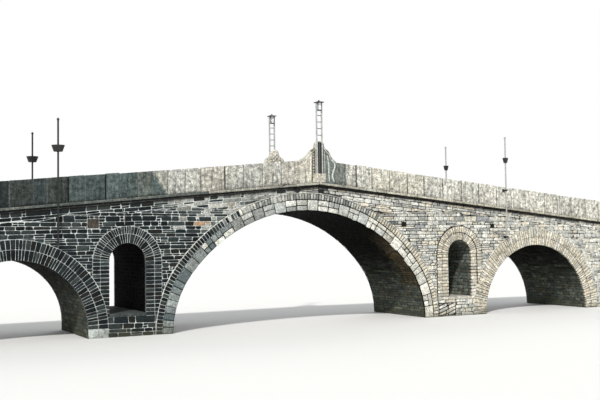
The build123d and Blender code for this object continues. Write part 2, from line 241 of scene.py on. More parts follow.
def stone_look(
    name, own_tint=None, lap=0.0, extra=0.0, streaks=0.3, grain=1.0, bedding=0.5, stain=True, spots=0.3,
    string_shade=False, sheen=0.25, cloud_low=0.66,
):
    """Weathered stone: each stone's own tint, mottled, with mortar lapping over its edges."""
    tree = Tree(name)
    base = own_tint(tree) if callable(own_tint) else own_tint or tree.attribute("tint")
    colour = tree.darken(base, tree.noise(1.1, 3), 0.42, 0.62, 1.0, (0.82, 0.81, 0.79))
    clouds = tree.span(tree.noise(8, 5, 0.6), 0.36, 0.64)
    low = tuple(cloud_low * c for c in (0.99, 1.0, 1.01))
    colour = tree.times(colour, tree.mix(clouds, low, (1.2, 1.19, 1.17)))
    mottle = tree.noise(24, 7, 0.68)
    shades = tree.blend(mottle, 0.38, 0.62, (0.58, 0.59, 0.60), (1.36, 1.36, 1.34))
    layers = tree.noise(9, 5, 0.6, stretch=(1, 1, 7), distort=0.4)
    colour = tree.darken(tree.times(colour, shades), layers, 0.50, 0.60, bedding, (0.42, 0.42, 0.42))
    crust = tree.mix(0.05, tree.times(base, (1.8, 1.8, 1.75)), rgb(216, 214, 204))
    colour = tree.blend(tree.noise(13, 6, 0.7), 0.56, 0.66, colour, crust, 0.0, spots)
    colour = tree.darken(colour, tree.noise(52, 3, 0.6), 0.57, 0.66, 0.75, (0.05, 0.05, 0.048))
    if streaks:
        runs = tree.noise(5.5, 5, 0.6, stretch=(3.2, 3.2, 0.28))
        colour = tree.darken(colour, runs, 0.50, 0.66, streaks, (0.08, 0.08, 0.076))
    if lap:
        edge = tree.attribute("edge", "Fac")
        smear = tree.span(tree.ragged(edge, 22, 4, -0.28, 0.28), 0.35, 0.95, 0.0, lap)
        smear = tree.math("MULTIPLY", smear, tree.span(tree.axis(0), -5.5, -1.0, 0.35, 1.0))
        colour = tree.mix(smear, colour, pointing_tone(tree, extra))
        # Painted shade: next to a dark open joint the stone is painted nearly black.
        colour = tree.blend(edge, -0.95, -0.45, colour, (0.022, 0.022, 0.020), 0.92, 0.0)
    # Painted shade under the string course.
    if string_shade:
        colour = painted_string_shade(tree, colour)
    if stain:
        colour = water_stain(tree, colour)
    tree.bump(
        (tree.noise(34, 8, 0.66), 0.8 * grain, 0.018),
        (layers, 0.5 * bedding * grain, 0.016),
        (tree.cells(70), 0.25 * grain, 0.008),
    )
    return tree.done(colour, tree.span(mottle, 0.3, 0.7, 0.78, 0.96), Specular_IOR_Level=sheen)


def mortar_look(name, tone=None, extra=0.0, inner=None):
    """Lime pointing on the faces, darker inside the openings: painted shade under the arches."""
    tree = Tree(name)
    fine = tree.noise(42, 6, 0.62)
    # Pointing gets the painted shade under the string course too, unless a tone is given.
    colour = tone or painted_string_shade(tree, pointing_tone(tree, extra))
    colour = tree.times(colour, tree.blend(fine, 0.36, 0.64, (0.70, 0.70, 0.69), (1.15, 1.15, 1.13)))
    colour = tree.darken(colour, tree.noise(2.6, 4), 0.5, 0.7, 0.3, (0.66, 0.64, 0.58))
    # Painted shade: mortar that faces into an opening takes the dark inner colour.
    if inner:
        facing = tree.math("ABSOLUTE", tree.axis(1, normal=True))
        colour = tree.blend(facing, 0.3, 0.7, inner, colour)
    tree.bump((fine, 0.5, 0.006), (tree.noise(9, 4), 0.4, 0.012))
    return tree.done(water_stain(tree, colour), 0.93, Specular_IOR_Level=0.1)


def iron_look(name, wear=0.35, rails=None, earth=False, zinc=None):
    """Dark painted iron with rust at the chips and dust on top. rails gives the lamp's uprights a paler grey, zinc
    is the tone of the poles on the right while those on the left stay dark as painted shade, and earth shows dry soil
    on the faces that look up."""
    tree = Tree(name)
    cloud = tree.noise(14, 5)
    shade = tree.shades(cloud, 0.3, 0.75, DARK_IRON, 0.7, 1.7)
    if rails:
        off = tree.math("ABSOLUTE", tree.math("SUBTRACT", tree.axis(0), PEAK_X))
        shade = tree.mix(tree.math("LESS_THAN", off, 0.008), shade, rgb(104, 106, 104))
        pale_rail = tree.shades(cloud, 0.35, 0.65, rails, 0.75, 1.2)
        shade = tree.mix(tree.math("GREATER_THAN", off, 0.0795), shade, pale_rail)
    if zinc:
        # Painted shade: the poles are dark on the left and pale zinc on the right.
        shade = tree.blend(tree.axis(0), -1.0, 1.0, shade, tree.shades(cloud, 0.35, 0.65, zinc, 0.8, 1.15))
    rust = tree.noise(38, 7, 0.7)
    shade = tree.blend(rust, 0.60, 0.74, shade, rgb(104, 62, 38), 0.0, wear)
    up = tree.axis(2, normal=True)
    shade = tree.blend(up, 0.55, 1.0, shade, rgb(126, 120, 108), 0.0, 0.35)
    gloss = tree.span(rust, 0.3, 0.75, 0.38, 0.72)
    layers = [(tree.noise(120, 4), 0.25, 0.002), (cloud, 0.15, 0.003)]
    if earth:
        level = tree.span(up, 0.96, 0.99)
        clods = tree.noise(55, 7, 0.7)
        soil = tree.blend(clods, 0.35, 0.65, rgb(44, 35, 27), rgb(98, 82, 64))
        shade = tree.mix(level, shade, soil)
        gloss = tree.math("MAXIMUM", gloss, level)
        layers.append((tree.math("MULTIPLY", clods, level), 0.9, 0.012))
    tree.bump(*layers)
    return tree.done(shade, gloss, Metallic=0.1 if earth else 0.35)


def glass_look(name):
    """Opal glass with dusty patches."""
    tree = Tree(name)
    dust = tree.noise(30, 5)
    colour = tree.blend(dust, 0.45, 0.7, (0.86, 0.89, 0.90), rgb(186, 184, 172), 0.0, 0.35)
    tree.bump((tree.noise(18, 2), 0.06, 0.004))
    gloss = tree.span(dust, 0.3, 0.7, 0.12, 0.34)
    return tree.done(colour, gloss, Coat_Weight=0.6, Coat_Roughness=0.08, Subsurface_Weight=0.2)


rubble = stone_look("rubble_stone_look", lap=0.55, streaks=0.25, string_shade=True)
rings = stone_look("ring_stone_look", lap=0.5, extra=0.3, streaks=0.15)
voussoirs = stone_look("voussoir_look", streaks=0.12, bedding=0.3)
vault = stone_look("vault_stone_look", streaks=0.2, spots=0.15, sheen=0.04)
dressed = {"bedding": 0.1, "stain": False}
slabs = stone_look("parapet_slab_look", lap=0.75, streaks=0.5, grain=0.9, cloud_low=0.42, **dressed)
carved = stone_look("carved_stone_look", crest_tone, streaks=0.5, grain=0.7, **dressed)
corbel_look = stone_look("corbel_stone_look", rgb(226, 220, 206), streaks=0.5, grain=0.7, **dressed)
relief_look = stone_look("relief_look", streaks=0.2, grain=0.7, **dressed)
string_stone = stone_look("string_stone_look", lap=0.2, bedding=0.2, stain=False)
sett_stone = stone_look("sett_stone_look", lap=0.1, streaks=0.0, spots=0.15, **dressed)
sill_look = stone_look("sill_look", sill_tone, bedding=0.2, spots=0.2)
pointing = mortar_look("lime_pointing", inner=rgb(40, 39, 34))
ring_pointing = mortar_look("ring_pointing", extra=0.3, inner=rgb(20, 20, 18))
voussoir_pointing = mortar_look("voussoir_pointing", tone=rgb(36, 36, 33), inner=rgb(18, 18, 15))
bedding = mortar_look("sett_bedding", tone=rgb(116, 108, 94))
core_look = mortar_look("core_rubble_look", tone=rgb(140, 134, 120))
iron = iron_look("dark_iron_look")
lamp_iron = iron_look("lamp_iron_look", rails=rgb(186, 188, 184), wear=0.2)
lantern_iron = iron_look("lantern_iron_look", wear=0.15)
pole_iron = iron_look("pole_iron_look", zinc=rgb(176, 178, 176))
opal = glass_look("opal_glass")
bowl_iron = iron_look("bowl_iron_look", earth=True)


# Polygons in a face, counter-clockwise


def sides(poly):
    return zip(poly, poly[1:] + poly[:1])


def corners(poly):
    """Each point between its neighbours."""
    return zip(poly[-1:] + poly, poly, poly[1:] + poly[:1])


def normal(a, b):
    """Unit vector to the left of the way from a to b."""
    length = dist(a, b) or 1
    return (a[1] - b[1]) / length, (b[0] - a[0]) / length


def shift(point, way, far):
    return point[0] + way[0] * far, point[1] + way[1] * far


def area(poly):
    return 0.5 * sum(a[0] * b[1] - b[0] * a[1] for a, b in sides(poly))


def centre(poly):
    return tuple(sum(axis) / len(poly) for axis in zip(*poly))


def rectangle(x, z, width, height):
    return [(x + a * width / 2, z + b * height / 2) for a, b in ((-1, -1), (1, -1), (1, 1), (-1, 1))]


def clip(poly, px, pz, nx, nz):
    """The part of a convex polygon on the side of a line that its normal points to."""
    out = []
    for p, q in sides(poly):
        a, b = ((x - px) * nx + (z - pz) * nz for x, z in (p, q))
        if a >= 0:
            out.append(p)
        if a > 0 > b or a < 0 < b:
            out.append(mid(p, q, a / (a - b)))
    return out


def inset(poly, gap):
    """A polygon drawn in by a gap, without points that nearly coincide."""
    drawn, least = poly, 0.004
    for a, b in sides(poly):
        if dist(a, b) > 1e-6:
            way = normal(a, b)
            drawn = clip(drawn, *shift(a, way, gap), *way)
    out = []
    for p in drawn:
        if not out or dist(p, out[-1]) > least:
            out.append(p)
    while len(out) > 1 and dist(out[0], out[-1]) <= least:
        out.pop()
    return out


def around(poly, box):
    """The parts of a cell beside, below and above a box that it overlaps."""
    (left, low), _, (right, high), _ = rectangle(*box)
    middle = clip(clip(poly, left, 0, 1, 0), right, 0, -1, 0)
    inside = clip(clip(middle, 0, low, 0, 1), 0, high, 0, -1)
    if len(inside) < 3 or area(inside) < 1e-4:
        return [poly]
    parts = [clip(poly, left, 0, -1, 0), clip(poly, right, 0, 1, 0)]
    parts += [clip(middle, 0, low, 0, -1), clip(middle, 0, high, 0, 1)]
    return [part for part in parts if len(part) > 2]


def cut(poly, shapes):
    """Cuts a small cell by the tangent of each outline that it comes near."""
    for near in shapes:
        if len(poly) < 3:
            return []
        middle = centre(poly)
        px, pz, nx, nz = near(*middle)
        if (middle[0] - px) * nx + (middle[1] - pz) * nz < max(dist(middle, p) for p in poly):
            poly = clip(poly, px, pz, nx, nz)
    return poly


# Single stones


def place(name, data):
    piece = bpy.data.objects.new(name, data)
    bpy.context.scene.collection.objects.link(piece)
    return piece


class Bag:
    """Collects closed shells of stone into one mesh. edge is 1 where mortar laps over, -1 at a dark open joint."""

    def __init__(self, name):
        self.name = name
        self.points, self.faces, self.tints, self.edges = [], [], [], []

    def add(self, points, faces, tint, edges):
        base = len(self.points)
        self.points += points
        self.faces += [tuple(base + i for i in face) for face in faces]
        self.tints += [tint] * len(points)
        self.edges += edges

    def build(self, material, slot, *replaced, crease=38):
        mesh = bpy.data.meshes.new(self.name)
        mesh.from_pydata(self.points, [], self.faces)
        tint = mesh.color_attributes.new("tint", "FLOAT_COLOR", "POINT")
        tint.data.foreach_set("color", [c for t in self.tints for c in (*t, 1.0)])
        edge = mesh.attributes.new("edge", "FLOAT", "POINT")
        edge.data.foreach_set("value", self.edges)
        mesh.materials.append(material)
        mesh.polygons.foreach_set("use_smooth", [True] * len(mesh.polygons))
        mesh.set_sharp_from_angle(angle=radians(crease))
        piece = place(self.name, mesh)
        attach(piece, "root")
        if replaced:
            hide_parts(*replaced)


# Scraps of stone smaller or thinner than this are left to the mortar
LEAST_AREA, LEAST_WIDTH = 0.0007, 0.0062


def turned(put, x, z):
    """Whether put mirrors a face, so that its polygons have to be reversed."""
    o, a, b, up = (Vector(put(*p)) for p in ((x, z, 0), (x + 0.01, z, 0), (x, z + 0.01, 0), (x, z, 0.01)))
    return (a - o).cross(b - o).dot(up - o) < 0


def stone(
    bag, poly, put, tint, rnd, joint=0.0055, high=0.010, depth=0.02, soft=0.008, chamfer=0.022, tilt=0.03, inner=0,
):
    """One stone on a face: a rounded outline, a soft arris and a slightly uneven surface. put places a point of the
    face at a height over it, joint is half the joint's width and inner counts the extra rings of points."""
    poly = inset(poly, joint * rnd.uniform(0.7, 1.3))
    if len(poly) < 3:
        return
    size, length = area(poly), sum(dist(a, b) for a, b in sides(poly))
    if size < LEAST_AREA or size / length < LEAST_WIDTH:
        return
    outline = []
    for before, p, after in corners(poly):
        for end in (before, after):
            outline.append(mid(p, end, min(chamfer * rnd.uniform(0.5, 1.4) / dist(p, end), 0.3)))
        if dist(p, after) > 0.2:
            middle = mid(p, after, rnd.uniform(0.35, 0.65))
            outline.append(shift(middle, normal(p, after), rnd.uniform(-0.005, 0.001)))
    soft = min(soft, 0.8 * size / length)
    inside = []
    for before, p, after in corners(outline):
        (ax, az), (bx, bz) = normal(before, p), normal(p, after)
        inside.append(shift(p, (ax + bx, az + bz), soft / max(0.4, 1 + ax * bx + az * bz)))
    cx, cz = centre(inside)
    lean, nod = rnd.uniform(-tilt, tilt), rnd.uniform(-tilt, tilt)
    top = high * rnd.uniform(0.75, 1.15)

    def lift(x, z, share, slope=1.0):
        return put(x, z, top * share + slope * (lean * (x - cx) + nod * (z - cz)))

    points = [put(*p, -depth) for p in outline] + [lift(*p, 0.3, 0.5) for p in outline]
    points += [lift(*p, rnd.uniform(0.82, 1.0)) for p in inside]
    for r in range(inner):
        share = 1 - (r + 1) / (inner + 1)
        points += [lift(*mid((cx, cz), p, share), rnd.uniform(0.9, 1.35)) for p in inside]
    points.append(lift(cx, cz, rnd.uniform(1.0, 1.3)))
    n, last = len(outline), len(points) - 1
    edges = [1.0] * (2 * n) + [0.12] * n + [0.0] * (last + 1 - 3 * n)
    faces = [tuple(reversed(range(n)))]
    for k in range(0, last - n, n):
        faces += [(k + i, k + (i + 1) % n, k + n + (i + 1) % n, k + n + i) for i in range(n)]
    faces += [(last - n + i, last - n + (i + 1) % n, last) for i in range(n)]
    if turned(put, cx, cz):
        faces = [face[::-1] for face in faces]
    bag.add(points, faces, tint, edges)


def lay(bag, poly, shapes, put, paint, rnd, wide=None, **looks):
    """A stone in what the outlines leave of a cell. wide gives half the joint's width at its place."""
    poly = cut(poly, shapes)
    if len(poly) > 2:
        x, z = centre(poly)
        if wide:
            looks["joint"] = wide(x)
        stone(bag, poly, put, paint(rnd, x, z), rnd, **looks)


# Curves of the arches, and the outlines that the rubble stops at

HAUNCH = MAIN_SHARE * MAIN_RISE
CROWN = (MAIN_SPAN**2 + MAIN_RISE**2 - 2 * HAUNCH * MAIN_SPAN) / (2 * (MAIN_RISE - HAUNCH))
CROWN_Z = MAIN_RISE - CROWN
HAUNCH_X = MAIN_SPAN - HAUNCH
TURN = pi / 2 - asin(HAUNCH_X / (CROWN - HAUNCH))


def arc(cx, cz, r, start, end, count):
    step = (end - start) / count
    return [(cx + r * cos(start + step * i), cz + r * sin(start + step * i)) for i in range(count + 1)]


def main_curve(off):
    side = round(HAUNCH * TURN / MAIN_STONE)
    right = arc(HAUNCH_X, 0, HAUNCH + off, 0, TURN, side)
    crown = arc(0, CROWN_Z, CROWN + off, TURN, pi - TURN, round(CROWN * (pi - 2 * TURN) / MAIN_STONE))
    return right + crown[1:-1] + arc(-HAUNCH_X, 0, HAUNCH + off, pi - TURN, pi, side)


def round_curve(shape, off, width=SIDE_STONE):
    cx, cz, r = shape
    return arc(cx, cz, r + off, 0, pi, round(pi * r / width))


def passage_curve(shape, off):
    """One edge of a passage's surround, from the pier foot up, over and down again."""
    cx, cz, r = shape
    heights = [PIER_TOP + (cz - PIER_TOP) * i / JAMB_STONES for i in range(JAMB_STONES)]
    up, down = ([(cx + side * (r + off), z) for z in heights] for side in (1, -1))
    return up + round_curve(shape, off, PASSAGE_STONE) + down[::-1]


def on_circle(x, z, cx, cz, r):
    """The point of a circle that is nearest to a place, and the way out of the circle there."""
    d = hypot(x - cx, z - cz) or 1
    nx, nz = (x - cx) / d, (z - cz) / d
    return cx + nx * r, cz + nz * r, nx, nz


def near_main(x, z):
    """The back of the main arch's hood nearest to a place."""
    if atan2(z - CROWN_Z, abs(x)) > TURN:
        return on_circle(x, z, 0, CROWN_Z, CROWN + MAIN_RING + MAIN_HOOD)
    return on_circle(x, z, copysign(HAUNCH_X, x), 0, HAUNCH + MAIN_RING + MAIN_HOOD)


def near_round(shape, off, floor=-1.0):
    """The same for a round arch with upright legs, down to a floor."""
    cx, cz, r = shape

    def near(x, z):
        side = copysign(1, x - cx)
        best = (cx + side * (r + off), z, side, 0) if z < cz else on_circle(x, z, cx, cz, r + off)
        if floor - z > (x - best[0]) * best[2] + (z - best[1]) * best[3]:
            return x, floor, 0, -1
        return best

    return near


ARCHES = [near_main] + [near_round(shape, SIDE_RING + SIDE_HOOD) for shape in (LEFT_ARCH, RIGHT_ARCH)]
PASSAGES = [near_round(p, PASSAGE_RING + PASSAGE_HOOD, PIER_TOP) for p in (LEFT_PASSAGE, RIGHT_PASSAGE)]
OPENINGS = ARCHES + PASSAGES
PUTLOGS = [(4.01, 3.46, 0.19, 0.14), (8.13, 3.37, 0.17, 0.14)]
LARGE_STONE, LARGE_TONE = (-7.46, 3.50, 0.36, 0.30), (86, 80, 72)
ODD_STONES = [
    (-3.80, 3.56, 0.40, 0.14, (200, 164, 130)),
    (4.65, 3.42, 0.56, 0.20, (176, 178, 180)),
    (6.9, 3.74, 0.52, 0.17, (152, 156, 158)),
    (7.75, 3.62, 0.46, 0.22, (176, 180, 182)),
    (-11.6, 3.28, 0.40, 0.17, (84, 108, 112)),
]
# Stones that lean against the foot of the main arch, under the right passage
LEANING_PATCH = (5.90, 0.27, 0.78, 0.46)
LEAN, LEANING_Z, LEANING_STEP = radians(19), 0.25, 0.135
# Where the lowest stones stand, a little over the ground
RUBBLE_FOOT, FOOT = 0.002, 0.003


# Tints

# SHADE, MIDDLE and SUN paint light into the stones from left to right: dark in painted shade over the left part, pale
# in painted sunlight on the right.
SHADE = [
    (20, 30, 34), (28, 39, 43), (38, 48, 51), (15, 23, 27), (52, 61, 62), (36, 37, 35), (66, 75, 74), (12, 18, 21),
]
MIDDLE = [
    (52, 60, 62), (120, 127, 127), (188, 190, 186), (86, 93, 93), (218, 218, 210), (158, 160, 155), (38, 42, 43),
    (174, 167, 152),
]
SUN = [
    (250, 249, 241), (238, 238, 230), (254, 253, 246), (220, 221, 215), (246, 238, 220), (212, 214, 209),
    (242, 237, 224), (180, 183, 179),
]
RING_MIDDLE = [(202, 203, 197), (176, 178, 173), (226, 225, 216), (142, 147, 146), (186, 188, 182)]
RING_SUN = [(243, 235, 216), (230, 223, 206), (250, 244, 227), (214, 209, 195), (238, 228, 207), (247, 243, 232)]
REAR = [
    (150, 152, 146), (176, 176, 168), (132, 136, 133), (196, 195, 186), (112, 116, 114), (166, 160, 146),
    (92, 97, 96), (186, 184, 174),
]
V_SHADE = [(128, 139, 141), (148, 157, 158), (104, 115, 118), (164, 172, 171)]
V_MIDDLE = [(216, 219, 214), (232, 234, 227), (196, 200, 197), (244, 244, 236), (158, 162, 160)]
V_SUN = [(248, 246, 235), (230, 229, 219), (254, 252, 242), (200, 199, 189)]
QUOIN_SHADE = [(92, 102, 104), (108, 117, 118), (78, 88, 91), (120, 128, 128)]
# Painted shade under the arches: VAULT nearly black, VAULT_LOW lighter for the light thrown up near the foot.
VAULT = [(8, 9, 8), (11, 11, 9), (7, 8, 8), (14, 13, 10), (6, 7, 6)]
VAULT_LOW = [(98, 104, 97), (84, 90, 85), (112, 117, 106), (96, 96, 83)]
# Painted sunlight on the soffit near the front face
VAULT_SUNLIT = [(104, 88, 64), (92, 80, 60), (78, 72, 60), (98, 90, 72)]
# Painted shade inside the passages: nearly black in the left one, mid grey in the right one
PASSAGE_LEFT = [(3, 4, 4), (4, 5, 5), (2, 3, 3), (6, 6, 6)]
PASSAGE_RIGHT = [(116, 124, 117), (98, 105, 99), (132, 139, 131), (108, 107, 97)]
# Lower course nearly black: painted shade under the upper course's nose, with some grime. Both courses are darker on
# the left, painted shade.
LOWER_COURSE = [(24, 27, 27), (32, 35, 34)], [(46, 45, 42), (36, 35, 33)], [(58, 56, 51), (46, 44, 40)]
UPPER_COURSE = (
    [(104, 110, 108), (120, 124, 118)], [(206, 204, 192), (190, 188, 176)], [(214, 210, 194), (202, 198, 182)],
)
PARAPET = [(222, 221, 213), (212, 212, 205), (230, 229, 220), (220, 216, 206)]
SLAB_SUN = [(242, 240, 230), (232, 231, 222), (246, 244, 233), (240, 236, 223)]
SETTS = [(124, 122, 114), (140, 136, 126), (110, 109, 104), (150, 144, 130), (98, 98, 96)]


def tint(rnd, x, *palettes, ends=(-5.2, -2.9, 0.5, 4.5), vary=0.12):
    """A stone's colour, picked from three palettes that follow one another from left to right."""
    if len(palettes) == 1 or rnd.random() > smooth(ends[0], ends[1], x):
        tone = palettes[0]
    elif rnd.random() > smooth(ends[2], ends[3], x):
        tone = palettes[1]
    else:
        tone = palettes[-1]
    k = 1 + rnd.uniform(-vary, vary)
    return tuple(k * c for c in rgb(*rnd.choice(tone)))


def plain(*palettes):
    """Paints each stone from one palette wherever it lies."""
    return lambda rnd, x, z: tint(rnd, 0, *palettes)


def paint_front(rnd, x, z):
    # The edge of the painted shade runs diagonally, further left higher up.
    lift = max(z, 3.0 * smooth(2.0, 4.5, x))
    tone = tint(rnd, x + 1.3 * (lift - 3.4), SHADE, MIDDLE, SUN)
    for cx, cz, width, height, colour in ODD_STONES:
        if abs(x - cx) < width / 2 and abs(z - cz) < height / 2:
            return rgb(*colour)
    return tone


def paint_ring(rnd, x, z):
    tone = tint(rnd, x, SHADE, RING_MIDDLE, RING_SUN, ends=(-3.6, -2.4, 1.6, 4.4))
    # Painted shade: ring stones darker still towards the left arch.
    darker = 0.7 + 0.3 * smooth(-9.0, -7.2, x)
    return tuple(darker * c for c in tone)


def paint_voussoir(rnd, x, z):
    return tint(rnd, x, V_SHADE, V_MIDDLE, V_SUN, ends=(-4.2, -2.6, 1.5, 4.0))


# Painted shade: nearly black up in the vault, lighter near its foot.
def paint_vault(rnd, x, z):
    share = smooth(0.7, 2.9, z + rnd.uniform(-0.25, 0.25))
    return tint(rnd, 0, [mid(rnd.choice(VAULT_LOW), rnd.choice(VAULT), share)])


# Rubble faces


def front(x, z, h):
    return x, -W - h, z


def rear(x, z, h):
    return x, W + h, z


def pieces(x, end, draw, least):
    """Cuts a way into drawn lengths. A rest shorter than least goes to the last one."""
    while x < end:
        step = draw()
        nxt = x + step
        if end - nxt < least:
            nxt = end
        yield x, nxt, step
        x = nxt


def lay_row(bag, put, bottom, top, start, end, shapes, lengths, paint, rnd, split=0.18, boxes=(), **looks):
    """One course between two lines, broken into stones."""
    for x, nxt, step in pieces(start - rnd.uniform(0, 0.2), end, lambda: rnd.triangular(*lengths), 0.1):
        a, b = max(x, start), min(nxt, end)
        slant_a, slant_b = (rnd.uniform(-0.018, 0.018) if start < p < end else 0 for p in (a, b))
        p, q, r, s = (a - slant_a, bottom(a)), (b - slant_b, bottom(b)), (b + slant_b, top(b)), (a + slant_a, top(a))
        height = top(a) - bottom(a)
        cells = [[p, q, r, s]]
        if height > 0.12 and rnd.random() < split:
            t = rnd.uniform(0.38, 0.62)
            left, right = mid(p, s, t), mid(q, r, t)
            cells = [[p, q, right, left], [left, right, r, s]]
        elif step > 0.3 and height > 0.1 and rnd.random() < 0.15:
            t = rnd.uniform(0.62, 0.8)
            low, high, right = mid(p, q, t), mid(s, r, t), mid(q, r, 0.5)
            middle = mid(low, high, 0.5)
            cells = [[p, low, high, s], [low, q, right, middle], [middle, right, r, high]]
        for box in boxes:
            cells = [part for poly in cells for part in around(poly, box)]
        for poly in cells:
            lay(bag, poly, shapes, put, paint, rnd, **looks)


def level(x):
    return 0.0


def wave(rnd, size):
    """A line that rises and falls a little."""
    parts = [(rnd.uniform(*pace), rnd.uniform(0, 6.3), size * k) for pace, k in (((0.3, 0.7), 1), ((1.2, 2.6), 0.5))]
    return lambda x: sum(a * sin(f * x + p) for f, p, a in parts)


def ramp_depth(x):
    """How far down from the string course the courses follow the road's slope."""
    return 0.275 + 0.62 * exp(-(((x - PEAK_X) / 3.4) ** 2)) + 0.045 * sin(1.9 * x + 0.6) + 0.025 * sin(4.7 * x)


def ramp_edge(keep):
    """The line between the level courses and those that follow the road; keep is -1 below it and 1 above."""

    def near(x, z):
        slope = (line(x + 0.05) - ramp_depth(x + 0.05) - line(x - 0.05) + ramp_depth(x - 0.05)) / 0.1
        d = hypot(slope, 1)
        return x, line(x) - ramp_depth(x), -slope / d * keep, keep / d

    return near


def joint_at(x):
    """Half the width of a joint, with the joints to the right raked wider."""
    return 0.006 + 0.003 * smooth(-4.5, 1.5, x)


def ring_joint_at(x):
    """The same for ring stones, with wider joints at the crown."""
    return joint_at(x) + 0.003 * (smooth(-3.2, -1.6, x) - smooth(2.2, 4.2, x))


# Length of the quoins, depth of the stones on an end, how far a stone keeps from the next piece, and rows of courses
# that follow the road
QUOIN, CORNER, GAP, ROWS = 0.32, 0.012, 0.004, 9


def rubble_face(name, put, seed, boxes, paint):
    """The whole elevation in rough courses, the upper ones following the road."""
    rnd = Random(seed)
    bag = Bag(name)
    ends = -END + QUOIN, END - QUOIN
    low, low_wave = RUBBLE_FOOT, level
    while low < PEAK_Z:
        high = low + rnd.uniform(0.085, 0.175)
        if abs(high - PIER_TOP) < 0.07:
            high, high_wave = PIER_TOP, level
        else:
            high_wave = wave(rnd, 0.017)
        lay_row(
            bag, put, lambda x: low + low_wave(x), lambda x: high + high_wave(x), *ends,
            [ramp_edge(-1)] + OPENINGS, (0.12, 0.72, 0.26), paint, rnd, wide=joint_at, boxes=boxes,
        )
        low, low_wave = high, high_wave
    for start, end in ((ends[0], PEAK_X), (PEAK_X, ends[1])):
        rise, high_wave = 0.012, level
        for _ in range(ROWS):
            drop, low_wave = rise + rnd.uniform(0.10, 0.15), wave(rnd, 0.016)
            a, b = start, end
            while a < end and ramp_depth(a) < rise:
                a += 0.1
            while b > start and ramp_depth(b) < rise:
                b -= 0.1
            if b - a > 0.3:
                lay_row(
                    bag, put, lambda x: line(x) - drop + low_wave(x), lambda x: line(x) - rise + high_wave(x), a, b,
                    [ramp_edge(1)] + OPENINGS, (0.16, 0.75, 0.34), paint, rnd, split=0.3, wide=joint_at, boxes=boxes,
                )
            rise, high_wave = drop, low_wave
    return bag


bag = rubble_face("rubble_front", front, 11, PUTLOGS + [LARGE_STONE, LEANING_PATCH], paint_front)
rnd = Random(5)
for k in range(-2, 4):
    x, low = LEANING_PATCH[0], LEANING_Z + LEANING_STEP * k
    poly = clip(rectangle(*LEANING_PATCH), x, low, -sin(LEAN), cos(LEAN))
    poly = clip(poly, x, low + LEANING_STEP, sin(LEAN), -cos(LEAN))
    split = x + rnd.uniform(-0.16, 0.16)
    for way in (-1, 1):
        half = clip(poly, split, 0, way, 0)
        if len(half) > 2:
            stone(bag, half, front, tint(rnd, 6, SUN), rnd, joint=0.017, high=0.014, inner=1)
stone(bag, rectangle(*LARGE_STONE), front, rgb(*LARGE_TONE), rnd, high=0.014, inner=1)
bag.build(rubble, "rubble_stone")
rubble_face("rubble_rear", rear, 23, PUTLOGS, plain(REAR)).build(rubble, "rubble_stone")


# Quoins and end faces


@lru_cache(None)
def box_grid(*counts):
    """Surface points of a grid box and its faces."""
    order, quads = {}, []
    for u, v, w in ((0, 1, 2), (0, 2, 1), (1, 2, 0)):
        for plane, i, j in product((0, counts[w] - 1), range(counts[u] - 1), range(counts[v] - 1)):
            quad = []
            for a, b in ((i, j), (i + 1, j), (i + 1, j + 1), (i, j + 1)):
                corner = {u: a, v: b, w: plane}
                quad.append(order.setdefault((corner[0], corner[1], corner[2]), len(order)))
            quads.append(tuple(quad[::-1] if (plane == 0) == (w != 1) else quad))
    return list(order), quads


def spaced(low, high, bevel, step):
    """Grid lines along one side: the arris, the bevel, then even steps."""
    inner = max(1, round((high - low - 2 * bevel) / step))
    body = [low + bevel + (high - low - 2 * bevel) * i / inner for i in range(inner + 1)]
    return [low] + body + [high]


def block(bag, low, high, tint, rnd, bevel=0.010, step=(9.0, 9.0, 9.0), rough=0.0, top=None, shear=None, seams=None):
    """A dressed block with rounded arrises and an uneven surface. top caps its upper side, shear tilts it along x.
    seams marks both ends along x: 1 for pointing smeared over them, -1 for a dark open joint."""
    bevel = min([bevel] + [0.3 * (b - a) for a, b in zip(low, high)])
    lines = [spaced(a, b, bevel, s) for a, b, s in zip(low, high, step)]
    order, quads = box_grid(*(len(values) for values in lines))
    waves = [(rnd.uniform(3, 9), rnd.uniform(3, 9), rnd.uniform(3, 9), rnd.uniform(0, 6.3)) for _ in range(3)]
    points, edges = [], []
    for ids in order:
        p = [values[i] for values, i in zip(lines, ids)]
        core = [min(max(v, a + bevel), b - bevel) for v, a, b in zip(p, low, high)]
        d = [v - c for v, c in zip(p, core)]
        length = sqrt(sum(v * v for v in d))
        touching = sum(abs(v) > 1e-9 for v in d)
        if length:
            p = [c + v / length * bevel for c, v in zip(core, d)]
            if rough and touching == 1:
                w = sum(sin(a * p[0] + b * p[1] + c * p[2] + s) for a, b, c, s in waves) / 3
                p = [v + u / length * rough * (w + rnd.uniform(-0.6, 0.6) - 0.8) for v, u in zip(p, d)]
            elif rough and touching > 1:
                p = [v - u / length * rough * rnd.uniform(0.4, 2.2) for v, u in zip(p, d)]
        if shear:
            p[2] += shear(p[0])
        if top:
            p[2] = min(p[2], top(p[0]))
        points.append((max(-END, min(END, p[0])), p[1], p[2]))
        if seams:
            near, end = min((ids[0], 0), (len(lines[0]) - 1 - ids[0], 1))
            edges.append((1.0, 0.45)[near] * seams[end] if near < 2 else 0.0)
        else:
            edges.append(1.0 if touching > 1 else 0.0)
    bag.add(points, quads, tint, edges)


